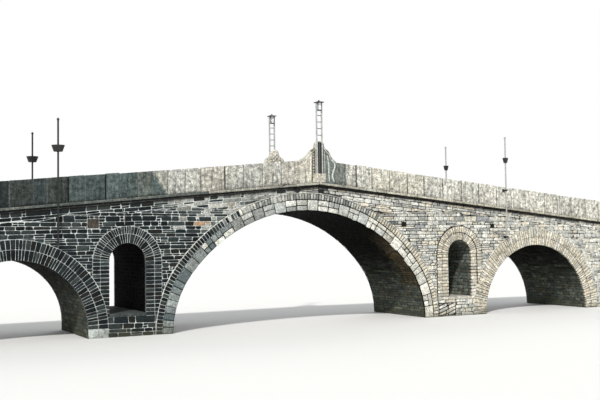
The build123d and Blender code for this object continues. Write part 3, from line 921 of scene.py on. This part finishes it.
def quoins(name, side, seed):
    """Blocks that turn two corners of the bridge, and the rubble between them on the end face."""
    rnd = Random(seed)
    bag = Bag(name)

    def end_face(y, z, h):
        return side * (END - CORNER + min(h, CORNER)), y, z

    top = line(side * END)
    levels = [FOOT]
    while levels[-1] < top - 0.3:
        levels.append(levels[-1] + rnd.uniform(0.19, 0.27))
    levels.append(top - 0.004)
    courses = list(zip(levels, levels[1:]))
    lengths = {}
    x0, x1 = sorted((side * (END - QUOIN + 0.006), side * END))
    for face in (-1, 1):
        for i, (low, high) in enumerate(courses):
            long_x = (i + (face > 0)) % 2 == 0
            across = rnd.uniform(0.26, 0.33) if long_x else rnd.uniform(0.42, 0.55)
            lengths[face, i] = across
            y0, y1 = sorted((face * (W - across), face * (W + 0.008)))
            tone = tint(rnd, side * 6, QUOIN_SHADE, V_MIDDLE, V_SUN)
            block(bag, (x0, y0, low + 0.006), (x1, y1, high - 0.006), tone, rnd, top=lambda x: line(x) - 0.004)
    for i, (low, high) in enumerate(courses):
        cuts = [low, (low + high) / 2 + rnd.uniform(-0.02, 0.02), high]
        for b, t in zip(cuts, cuts[1:]):
            lay_row(
                bag, end_face, lambda y: b, lambda y: t, -W + lengths[-1, i] + GAP, W - lengths[1, i] - GAP,
                [], (0.16, 0.5, 0.3), lambda r, y, z: tint(r, side * 6, SHADE, MIDDLE, SUN), rnd, high=0.009, tilt=0.01,
            )
    return bag


def mortar_copy(node, move, material):
    """A copy of a solid's mesh, drawn in a little so that the stones over it stay inside the bridge's length."""
    mesh = nodes[node].data.copy()
    mesh.name = node + "_bed"
    for vertex in mesh.vertices:
        vertex.co = Vector(move(*vertex.co))
    mesh.materials.clear()
    mesh.materials.append(material)
    piece = place(node + "_bed", mesh)
    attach(piece, "root")
    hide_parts(node)


for side, node in ((-1, "left_abutment"), (1, "right_abutment")):
    quoins(node + "_stones", side, 40 + side).build(rubble, "rubble_stone")
    mortar_copy(node, lambda x, y, z: (max(-END + CORNER, min(END - CORNER, x)), y, z), pointing)


# Arch rings and vaults

# How far the ring stones reach into an opening
RETURN = 0.07


def ring_stones(bag, near, far, put, paint, rnd, parts=(1,), over=-1, proud=0.012, shapes=(), **looks):
    """Stones of a ring between two matching runs of points, with their feet past the curve. parts says in turn how
    many stones go to a chord over a height. Below it, in the upright jambs, there is one."""
    for i, (n1, n2, f1, f2) in enumerate(zip(near, near[1:], far, far[1:])):
        count = parts[i % len(parts)] if (n1[1] + n2[1]) / 2 > over else 1
        for k in range(count):
            (a, b), (d, c) = ([mid(p, q, (k + j) / count) for j in (0, 1)] for p, q in ((n1, n2), (f1, f2)))
            poly = [mid(a, d, -proud / dist(a, d)), mid(b, c, -proud / dist(b, c)), c, d]
            if area(poly) < 0:
                poly.reverse()
            lay(bag, poly, shapes, put, paint, rnd, **looks)


def vault_rows(bag, curve, parts, inward, paint, rnd, lengths, low_z=0.0, start=RETURN, brown=False):
    """Stones of the vault between the ring stones of both faces, in rows along the bridge's width."""
    for a, b in zip(curve, curve[1:]):
        length, out = dist(a, b), normal(a, b)
        along = out[1], -out[0]
        if (inward[0] - a[0]) * out[0] + (inward[1] - a[1]) * out[1] < 0:
            out = -out[0], -out[1]

        def put(y, s, h):
            x, z = shift(shift(a, along, s), out, h)
            return x, y, max(low_z, z)

        def shade(r, y, s):
            z = a[1] + along[1] * s
            tone = paint(r, a[0], z)
            # Painted sunlight: a warm patch on the soffit near the front face.
            if brown:
                lit = 0.85 * (1 - smooth(0.25, 1.3, y + W)) * smooth(0.9, 1.5, z) * (1 - smooth(2.5, 3.3, z))
                tone = mid(tone, tint(r, 0, VAULT_SUNLIT), lit)
            return tone

        for k in range(parts):
            lay_row(
                bag, put, lambda y: length * k / parts, lambda y: length * (k + 1) / parts, -W + start + GAP,
                W - start - GAP, [], lengths, shade, rnd, split=0.0, high=0.010, joint=0.006, soft=0.007,
                chamfer=0.012, tilt=0.02,
            )


def spline(points, steps=5):
    """A smooth run through a few points."""
    ends = [points[0], *points, points[-1]]
    out = []
    for four in zip(ends, ends[1:], ends[2:], ends[3:]):
        for t in (i / steps for i in range(steps)):
            out.append(tuple(
                0.5 * (2 * q + (r - p) * t + (2 * p - 5 * q + 4 * r - s) * t * t + (3 * q - p - 3 * r + s) * t**3)
                for p, q, r, s in zip(*four)
            ))
    return out + [points[-1]]


def ridge(bag, path, put, tint, width, proud=0.020):
    """A rounded ridge along a path on a face; its ends run out to nearly nothing."""
    section = [(-0.5, -0.006), (-0.34, 0.6 * proud), (0.0, proud), (0.34, 0.6 * proud), (0.5, -0.006)]
    points, last, n = [], len(path) - 1, len(section)
    for i, p in enumerate(path):
        way = normal(path[max(i - 1, 0)], path[min(i + 1, last)])
        full = 0.35 if i in (0, last) else 1.0
        points += [put(*shift(p, way, a * width * full), h * full if h > 0 else h) for a, h in section]
    faces = [tuple(range(n)), tuple(last * n + k for k in reversed(range(n)))]
    for i in range(0, last * n, n):
        faces += [(i + k, i + n + k, i + n + (k + 1) % n, i + (k + 1) % n) for k in range(n)]
    if not turned(put, 0, 0):
        faces = [face[::-1] for face in faces]
    bag.add(points, faces, tint, [0.0] * len(points))


BEAD_TONE, CRACK_TONE = rgb(250, 249, 241), rgb(206, 212, 210)
CRACK = [(-6.60, 4.12), (-6.54, 3.92), (-6.48, 3.72), (-6.475, 3.44)]

for face, side, put, paint, ring_paint, seed in (
    ("front", -1, front, paint_voussoir, paint_ring, 61),
    ("rear", 1, rear, plain(V_MIDDLE), plain(REAR), 67),
):

    def put_hood(x, z, h):
        return x, side * (W + HOOD_RELIEF + h), z

    rnd = Random(seed)
    bag = Bag("voussoirs_" + face)
    low, high = main_curve(0), main_curve(MAIN_RING)
    looks = {"depth": RETURN, "joint": 0.015, "high": 0.014, "soft": 0.012, "chamfer": 0.016, "tilt": 0.02}
    for a, b, d, c in zip(low, low[1:], high, high[1:]):
        crown = smooth(1.4, 2.6, (a[1] + b[1]) / 2)
        if rnd.random() < 0.12 + 0.55 * crown:
            t = rnd.uniform(0.4, 0.62)
            m, n = mid(a, d, t), mid(b, c, t)
            ring_stones(bag, [a, b], [m, n], put, paint, rnd, [rnd.choice((1, 2))], **looks)
            ring_stones(bag, [m, n], [d, c], put, paint, rnd, [rnd.choice((1, 1, 2))], proud=0, **looks)
        else:
            ring_stones(bag, [a, b], [d, c], put, paint, rnd, [2 if rnd.random() < 0.3 else 1], inner=1, **looks)
    bag.build(voussoirs, "voussoir_stone")
    bag, ring_bag, beads = Bag("hood_stones_" + face), Bag("ring_stones_" + face), Bag("mortar_beads_" + face)
    thin = {"wide": ring_joint_at, "high": 0.010, "chamfer": 0.012}
    ring_stones(
        bag, main_curve(MAIN_RING), main_curve(MAIN_RING + MAIN_HOOD), put_hood, ring_paint, rnd, (4,), proud=0,
        wide=ring_joint_at, high=0.011, chamfer=0.014,
    )
    for shape, lap in ((LEFT_ARCH, 0.0), (RIGHT_ARCH, 0.010)):
        runs = [round_curve(shape, off) for off in (0, SIDE_RING, SIDE_RING + lap, SIDE_RING + SIDE_HOOD + lap)]
        ring_stones(bag, runs[1], runs[3], put_hood, ring_paint, rnd, (2, 3, 2), proud=lap, **thin)
        ring_stones(ring_bag, runs[0], runs[2], put, ring_paint, rnd, (2, 3), depth=RETURN, **thin)
    thin["shapes"] = ARCHES
    for shape in (LEFT_PASSAGE, RIGHT_PASSAGE):
        low, middle, high = (passage_curve(shape, off) for off in (0, PASSAGE_RING, PASSAGE_RING + PASSAGE_HOOD))
        ring_stones(ring_bag, low, middle, put, ring_paint, rnd, (2, 2, 1), shape[1], depth=RETURN, **thin)
        ring_stones(bag, middle, high, put_hood, ring_paint, rnd, (2, 3), shape[1], proud=0, **thin)
    for path in (main_curve(MAIN_RING + MAIN_HOOD + 0.008), round_curve(RIGHT_ARCH, SIDE_RING + SIDE_HOOD + 0.014)):
        ridge(beads, [(x, max(z, FOOT)) for x, z in path], put, BEAD_TONE, 0.028, 0.022)
    if face == "front":
        ridge(beads, spline(CRACK), put, CRACK_TONE, 0.024, 0.018)
    bag.build(rings, "hood_stone")
    ring_bag.build(rings, "ring_stone")
    beads.build(relief_look, "hood_stone")

rnd = Random(83)
bag = Bag("main_vault_stones")
vault_rows(bag, main_curve(0), 4, (0, 0.5), paint_vault, rnd, (0.22, 0.62, 0.4), brown=True)
bag.build(vault, "voussoir_stone")
for key, shape in (("left", LEFT_ARCH), ("right", RIGHT_ARCH)):
    bag = Bag(key + "_vault_stones")
    vault_rows(bag, round_curve(shape, 0), 2, shape[:2], paint_vault, rnd, (0.2, 0.55, 0.36))
    if key == "left":
        for x in (shape[0] - shape[2], shape[0] + shape[2]):
            vault_rows(bag, [(x, 0.0), (x, shape[1])], 2, shape[:2], paint_vault, rnd, (0.2, 0.55, 0.36), start=0.0)
    bag.build(vault, "ring_stone")
for key, shape, tones in (("left", LEFT_PASSAGE, PASSAGE_LEFT), ("right", RIGHT_PASSAGE, PASSAGE_RIGHT)):
    bag = Bag(key + "_passage_stones")
    curve, inward = passage_curve(shape, 0), (shape[0], 1.6)
    vault_rows(bag, curve, 1, inward, plain(tones), rnd, (0.2, 0.5, 0.32), low_z=PASSAGE_FLOOR)
    bag.build(vault, "ring_stone")


# String course and parapets

# Foot, height, nose over the axis, lengths of the stones and palettes of each course
COURSES = (
    (0.0, LOWER_STRING, LOWER_NOSE, (0.45, 0.95), LOWER_COURSE),
    (LOWER_STRING, STRING - LOWER_STRING, UPPER_NOSE, (0.6, 1.05), UPPER_COURSE),
)
for node in [n for n in nodes if n.endswith("_string_course")]:
    side = -1 if node.startswith("front") else 1
    rnd = Random(node)
    bag = Bag(node + "_stones")
    start, end = (-END, PEAK_X) if "_left_" in node else (PEAK_X, END)
    for rise, height, nose, lengths, palettes in COURSES:
        for x, nxt, _ in pieces(start, end, lambda: rnd.uniform(*lengths), 0.35):
            out = nose + rnd.uniform(-0.004, 0.006)
            y0, y1 = sorted((side * out, side * (ROAD_EDGE + 0.002)))
            a = x if x == -END else x + GAP
            b = nxt if nxt == END else nxt - GAP
            block(
                bag, (a, y0, rise - 0.001), (b, y1, rise + height + 0.001), tint(rnd, x, *palettes), rnd,
                bevel=0.009, step=(0.16, 0.2, 0.1), rough=0.0022, shear=line,
            )
    bag.build(string_stone, "string_stone", crease=50)
    mortar_copy(
        node, lambda x, y, z: (x * (END - CORNER) / END, y - side * 0.006 if abs(y) > 1.7 else y, z), pointing,
    )

OPEN_JOINTS = (-8.19, -7.04, -3.05, 2.01)
# Where the dark slabs of painted shade on the left end, and where the grey ones right of the crest do
DARK_END, DARK_EDGE, GREY_END = -5.3, -5.04, 1.57
# Tones on both sides of the painted shadow's diagonal edge on one slab
SHADOW_SIDE, SUNLIT_SIDE = rgb(104, 118, 117), rgb(196, 197, 188)
for node in [n for n in nodes if n.endswith("_parapet")]:
    side = -1 if node.startswith("front") else 1
    rnd = Random(node)
    xs = sorted({round(v.co.x, 4) for v in nodes[node].data.vertices})
    pairs = list(zip(xs[::2], xs[1::2]))
    bag, gaps = Bag(node + "_slabs"), Bag(node + "_joints")
    marks = [0.0]
    for a, b in pairs[:-1]:
        listed = any(abs(b - x) < 0.1 for x in OPEN_JOINTS)
        marks.append(-1.0 if (listed if side < 0 else rnd.random() < 0.2) else rnd.choice((1.0, 0.8, 0.55)))
    marks.append(0.0)
    for i, (a, b) in enumerate(pairs):
        y0, y1 = sorted((side * (SLAB_OUT + rnd.uniform(-0.004, 0.006)), side * SLAB_IN))
        top = SLAB_TOP - rnd.uniform(0.0, 0.022)
        lean, middle = rnd.uniform(-0.010, 0.010), (a + b) / 2
        first = len(bag.points)
        # Painted shade: slabs on the left end are dark, lighter towards the middle.
        if side < 0 and a < DARK_END:
            cool = mid((42, 50, 52), (106, 121, 120), smooth(-12.5, -5.5, a))
            warm = [c * k for c, k in zip(cool, (1.04, 0.98, 0.95))]
            shade = tint(rnd, 0, [cool, cool, warm], vary=0.22)
        else:
            shade = tint(rnd, a if side < 0 else 4, PARAPET, SLAB_SUN, ends=(0.5, 4, 90, 91), vary=0.06)
        open_a, open_b = (0.008 * (mark < 0) for mark in marks[i:i + 2])
        block(
            bag, (a + open_a, y0, STRING + 0.001), (b - open_b, y1, top), shade, rnd, bevel=0.013,
            step=(0.05, 0.09, 0.085), rough=0.0032, shear=lambda x: line(x) + lean * (x - middle),
            seams=marks[i:i + 2],
        )
        # Painted shadow edge: this slab is dark at its lower left and light at its upper right.
        if side < 0 and abs(b - DARK_EDGE) < 0.1:
            for k in range(first, len(bag.points)):
                x, _, z = bag.points[k]
                t = smooth(-0.12, 0.12, (x - a) / (b - a) + (z - line(x) - STRING) / (SLAB_TOP - STRING) - 1)
                bag.tints[k] = mid(SHADOW_SIDE, SUNLIT_SIDE, t)
        if marks[i + 1] > 0:
            back = rnd.uniform(0.003, 0.010)
            low_y, high_y = sorted((side * (SLAB_OUT - back), side * (SLAB_IN + back)))
            far = pairs[i + 1][0] + GAP, high_y, SLAB_TOP - 0.02 - rnd.uniform(0, 0.02)
            block(
                gaps, (b - GAP, low_y, STRING), far, MORTAR, rnd, bevel=0.004, step=(1.0, 1.0, 0.2), rough=0.001,
                shear=line,
            )
    if node == "front_right_parapet":
        grey = rgb(*GREY_SLAB)
        bag.tints = [grey if point[0] < GREY_END else shade for point, shade in zip(bag.points, bag.tints)]
    bag.build(slabs, "parapet_stone", node, crease=50)
    gaps.build(pointing, "parapet_stone")


# Carving on the crest stones

HEAD_RADIUS, HEAD_Z = 0.135, 0.475
HEAD_SHIFT = {"front": 0.09, "rear": -0.03}
CREAM, LAMP_SHADOW_RIDGE, STRIP_TONE = rgb(240, 237, 226), rgb(224, 228, 220), rgb(196, 192, 182)
OUTER_SCROLLS = [
    ([(-0.235, 0.20), (-0.272, -0.25), (-0.28, -0.78)], 0.05),
    ([(0.375, 0.15), (0.43, -0.15), (0.44, -0.45), (0.45, -0.79)], 0.05),
    ([(0.55, 0.0), (0.66, -0.11), (0.685, -0.25), (0.61, -0.44), (0.585, -0.62), (0.65, -0.79)], 0.07),
    ([(0.27, 0.29), (0.275, -0.2), (0.27, -0.78)], 0.036),
]
INNER_SCROLLS = [
    ([(0.06, 0.50), (-0.02, 0.40), (-0.12, 0.31), (-0.23, 0.29)], 0.045),
    ([(0.13, 0.42), (0.03, 0.30), (-0.07, 0.21), (-0.24, 0.20)], 0.045),
    ([(-0.08, 0.17), (-0.085, -0.2), (-0.08, -0.72)], 0.034),
    ([(0.05, 0.20), (0.055, -0.2), (0.05, -0.72)], 0.034),
    ([(0.26, 0.26), (0.30, -0.1), (0.25, -0.4), (0.30, -0.72)], 0.045),
    ([(-0.33, 0.14), (-0.30, -0.15), (-0.35, -0.4), (-0.30, -0.72)], 0.045),
]
HALF_RIM = [(0.655, -0.10), (0.52, -0.01), (0.43, 0.09), (0.375, 0.185), (0.28, 0.255), (0.205, 0.34), (0.135, 0.42)]
HALF_RIM += [(HEAD_RADIUS * cos(a), HEAD_Z + HEAD_RADIUS * sin(a)) for a in (0.3, 0.9, 1.57)]
RIM = HALF_RIM + [(-x, z) for x, z in reversed(HALF_RIM[:-1])]
for face, side in (("front", -1), ("rear", 1)):
    bag = Bag(face + "_crest_carving")
    rnd = Random(face)
    for plane, way, scrolls, strip in ((SLAB_OUT, 1, OUTER_SCROLLS, -0.17), (SLAB_IN, -1, INNER_SCROLLS, 0.16)):

        def put(x, z, h):
            return PEAK_X + x, side * (plane + way * h), PEAK_Z + SLAB_TOP + z

        def put_rim(x, z, h):
            return put(x + HEAD_SHIFT[face] * smooth(-0.12, 0.2, z), z, h)

        for path, width in scrolls:
            # Ridges right of the front lamp are grey: the lamp's painted shadow.
            grey = face == "front" and way > 0 and path[0][0] > 0.1
            ridge(bag, spline(path), put if way > 0 else put_rim, LAMP_SHADOW_RIDGE if grey else CREAM, width)
        ridge(bag, spline(RIM, 4), put_rim, CREAM, 0.034, 0.012)
        for k in range(11):
            poly = rectangle(strip, 0.27 - 0.097 * k, 0.064, 0.06)
            stone(bag, poly, put, STRIP_TONE, rnd, joint=0.001, high=0.016, depth=0.006, soft=0.012, inner=1)
    bag.build(relief_look, "crest_stone", crease=60)


# Setts of the road

rnd = Random(97)
for key, start, end in (("left", -END + 0.01, PEAK_X - 0.006), ("right", PEAK_X + 0.006, END - 0.01)):
    bag = Bag(key + "_road_setts")
    for x, nxt, _ in pieces(start, end, lambda: rnd.uniform(0.145, 0.20), 0.08):
        lay_row(
            bag, lambda y, s, h: (s, y, line(s) + STRING + h - GAP), lambda y: x, lambda y: nxt, -ROAD_EDGE + 0.012,
            ROAD_EDGE - 0.012, [], (0.13, 0.28, 0.19), plain(SETTS), rnd, split=0.0, joint=0.007, high=0.012,
            soft=0.016, chamfer=0.026, tilt=0.025,
        )
    bag.build(sett_stone, "paving_stone")


# Finishes of the solids that stay: ends of their names, material and width of the bevel

FINISHES = (
    ("main_arch_barrel", voussoir_pointing, 0),
    (("left_arch_barrel", "right_arch_barrel", "_hood_front", "_hood_rear", "_hoods", "_surround"), ring_pointing, 0),
    (("_spandrel", "_pier_foot"), pointing, 0),
    ("_rubble_core", core_look, 0),
    ("_road_paving", bedding, 0),
    ("_sill", sill_look, 0.012),
    ("_lamp_post", lamp_iron, 0.002),
    ("_lantern", lantern_iron, 0.002),
    ("lantern_glasses", opal, 0.004),
    ("pole_bowls", bowl_iron, 0.002),
    ("side_poles", pole_iron, 0),
    ("pole_brackets", iron, 0.002),
    ("_crest_stone", carved, 0.012),
    ("lamp_corbels", corbel_look, 0.012),
)


for ending, material, bevel in FINISHES:
    for piece in [nodes[node] for node in nodes if node.endswith(ending)]:
        for slot in piece.material_slots:
            slot.material = material
        if not piece.material_slots:
            piece.data.materials.append(material)
        if bevel:
            modifier = piece.modifiers.new("soft_edges", "BEVEL")
            modifier.width = bevel
            modifier.segments = 2
            modifier.limit_method = "ANGLE"
            modifier.angle_limit = radians(35)


# Floor, light and camera

# The floor turns white between these distances from the bridge's middle
FLOOR_SIDE, FADE = 800, (24, 60)
CAMERA_AT = -14.665, -28.822, 2.882
YAW, PITCH, ROLL = 0.48829, 0.04610, -0.01322
SENSOR, LENS = 36, 53.53

scene = bpy.context.scene
mesh = bpy.data.meshes.new("floor")
mesh.from_pydata([(*p, 0) for p in rectangle(0, 0, FLOOR_SIDE, FLOOR_SIDE)], [], [(0, 1, 2, 3)])
tree = Tree("pale_floor")
away = tree.add("VectorMath", tree.place, operation="LENGTH")
rays = tree.add("LightPath")
seen = tree.math("MULTIPLY", tree.span(away.outputs["Value"], *FADE), rays.outputs["Is Camera Ray"])
mesh.materials.append(tree.done((0.80, 0.80, 0.79)))
tree.join(seen, tree.shader, tree.add("Emission", (1.0, 1.0, 1.0)), "Material Output")
place("floor", mesh)

sky = Tree("pale_world", "worlds")
scene.world = sky.owner
soft_light = sky.nodes["Background"]
sky.put((0.93, 0.96, 1.0), soft_light.inputs["Color"])
sky.put(0.55, soft_light.inputs["Strength"])
rays = sky.add("LightPath").outputs
seen = sky.math("MAXIMUM", rays["Is Camera Ray"], rays["Is Glossy Ray"])
seen = sky.math("MAXIMUM", seen, rays["Is Transmission Ray"])
sky.join(seen, soft_light, sky.add("Background", (1.0, 1.0, 1.0), 1.0), "World Output")


def sun(name, direction, strength, angle):
    lamp = bpy.data.lights.new(name, "SUN")
    lamp.energy = strength
    lamp.angle = radians(angle)
    lamp.color = (1.0, 0.975, 0.93)
    place(name, lamp).rotation_euler = Vector(direction).to_track_quat("-Z", "Y").to_euler()


sun("key_light", (0.62, 0.74, -0.95), 2.75, 4)
sun("back_fill", (-0.5, -0.9, -0.8), 0.5, 25)

forward = Vector((sin(YAW) * cos(PITCH), cos(YAW) * cos(PITCH), sin(PITCH)))
right = Vector((cos(YAW), -sin(YAW), 0))
up = right.cross(forward)
right, up = cos(ROLL) * right + sin(ROLL) * up, -sin(ROLL) * right + cos(ROLL) * up
data = bpy.data.cameras.new("photo_view")
data.sensor_width = SENSOR
data.lens = LENS
data.clip_end = 1000
scene.camera = place("photo_view", data)
scene.camera.matrix_world = Matrix.Translation(CAMERA_AT) @ Matrix((right, up, -forward)).transposed().to_4x4()
scene.view_settings.view_transform = "Standard"
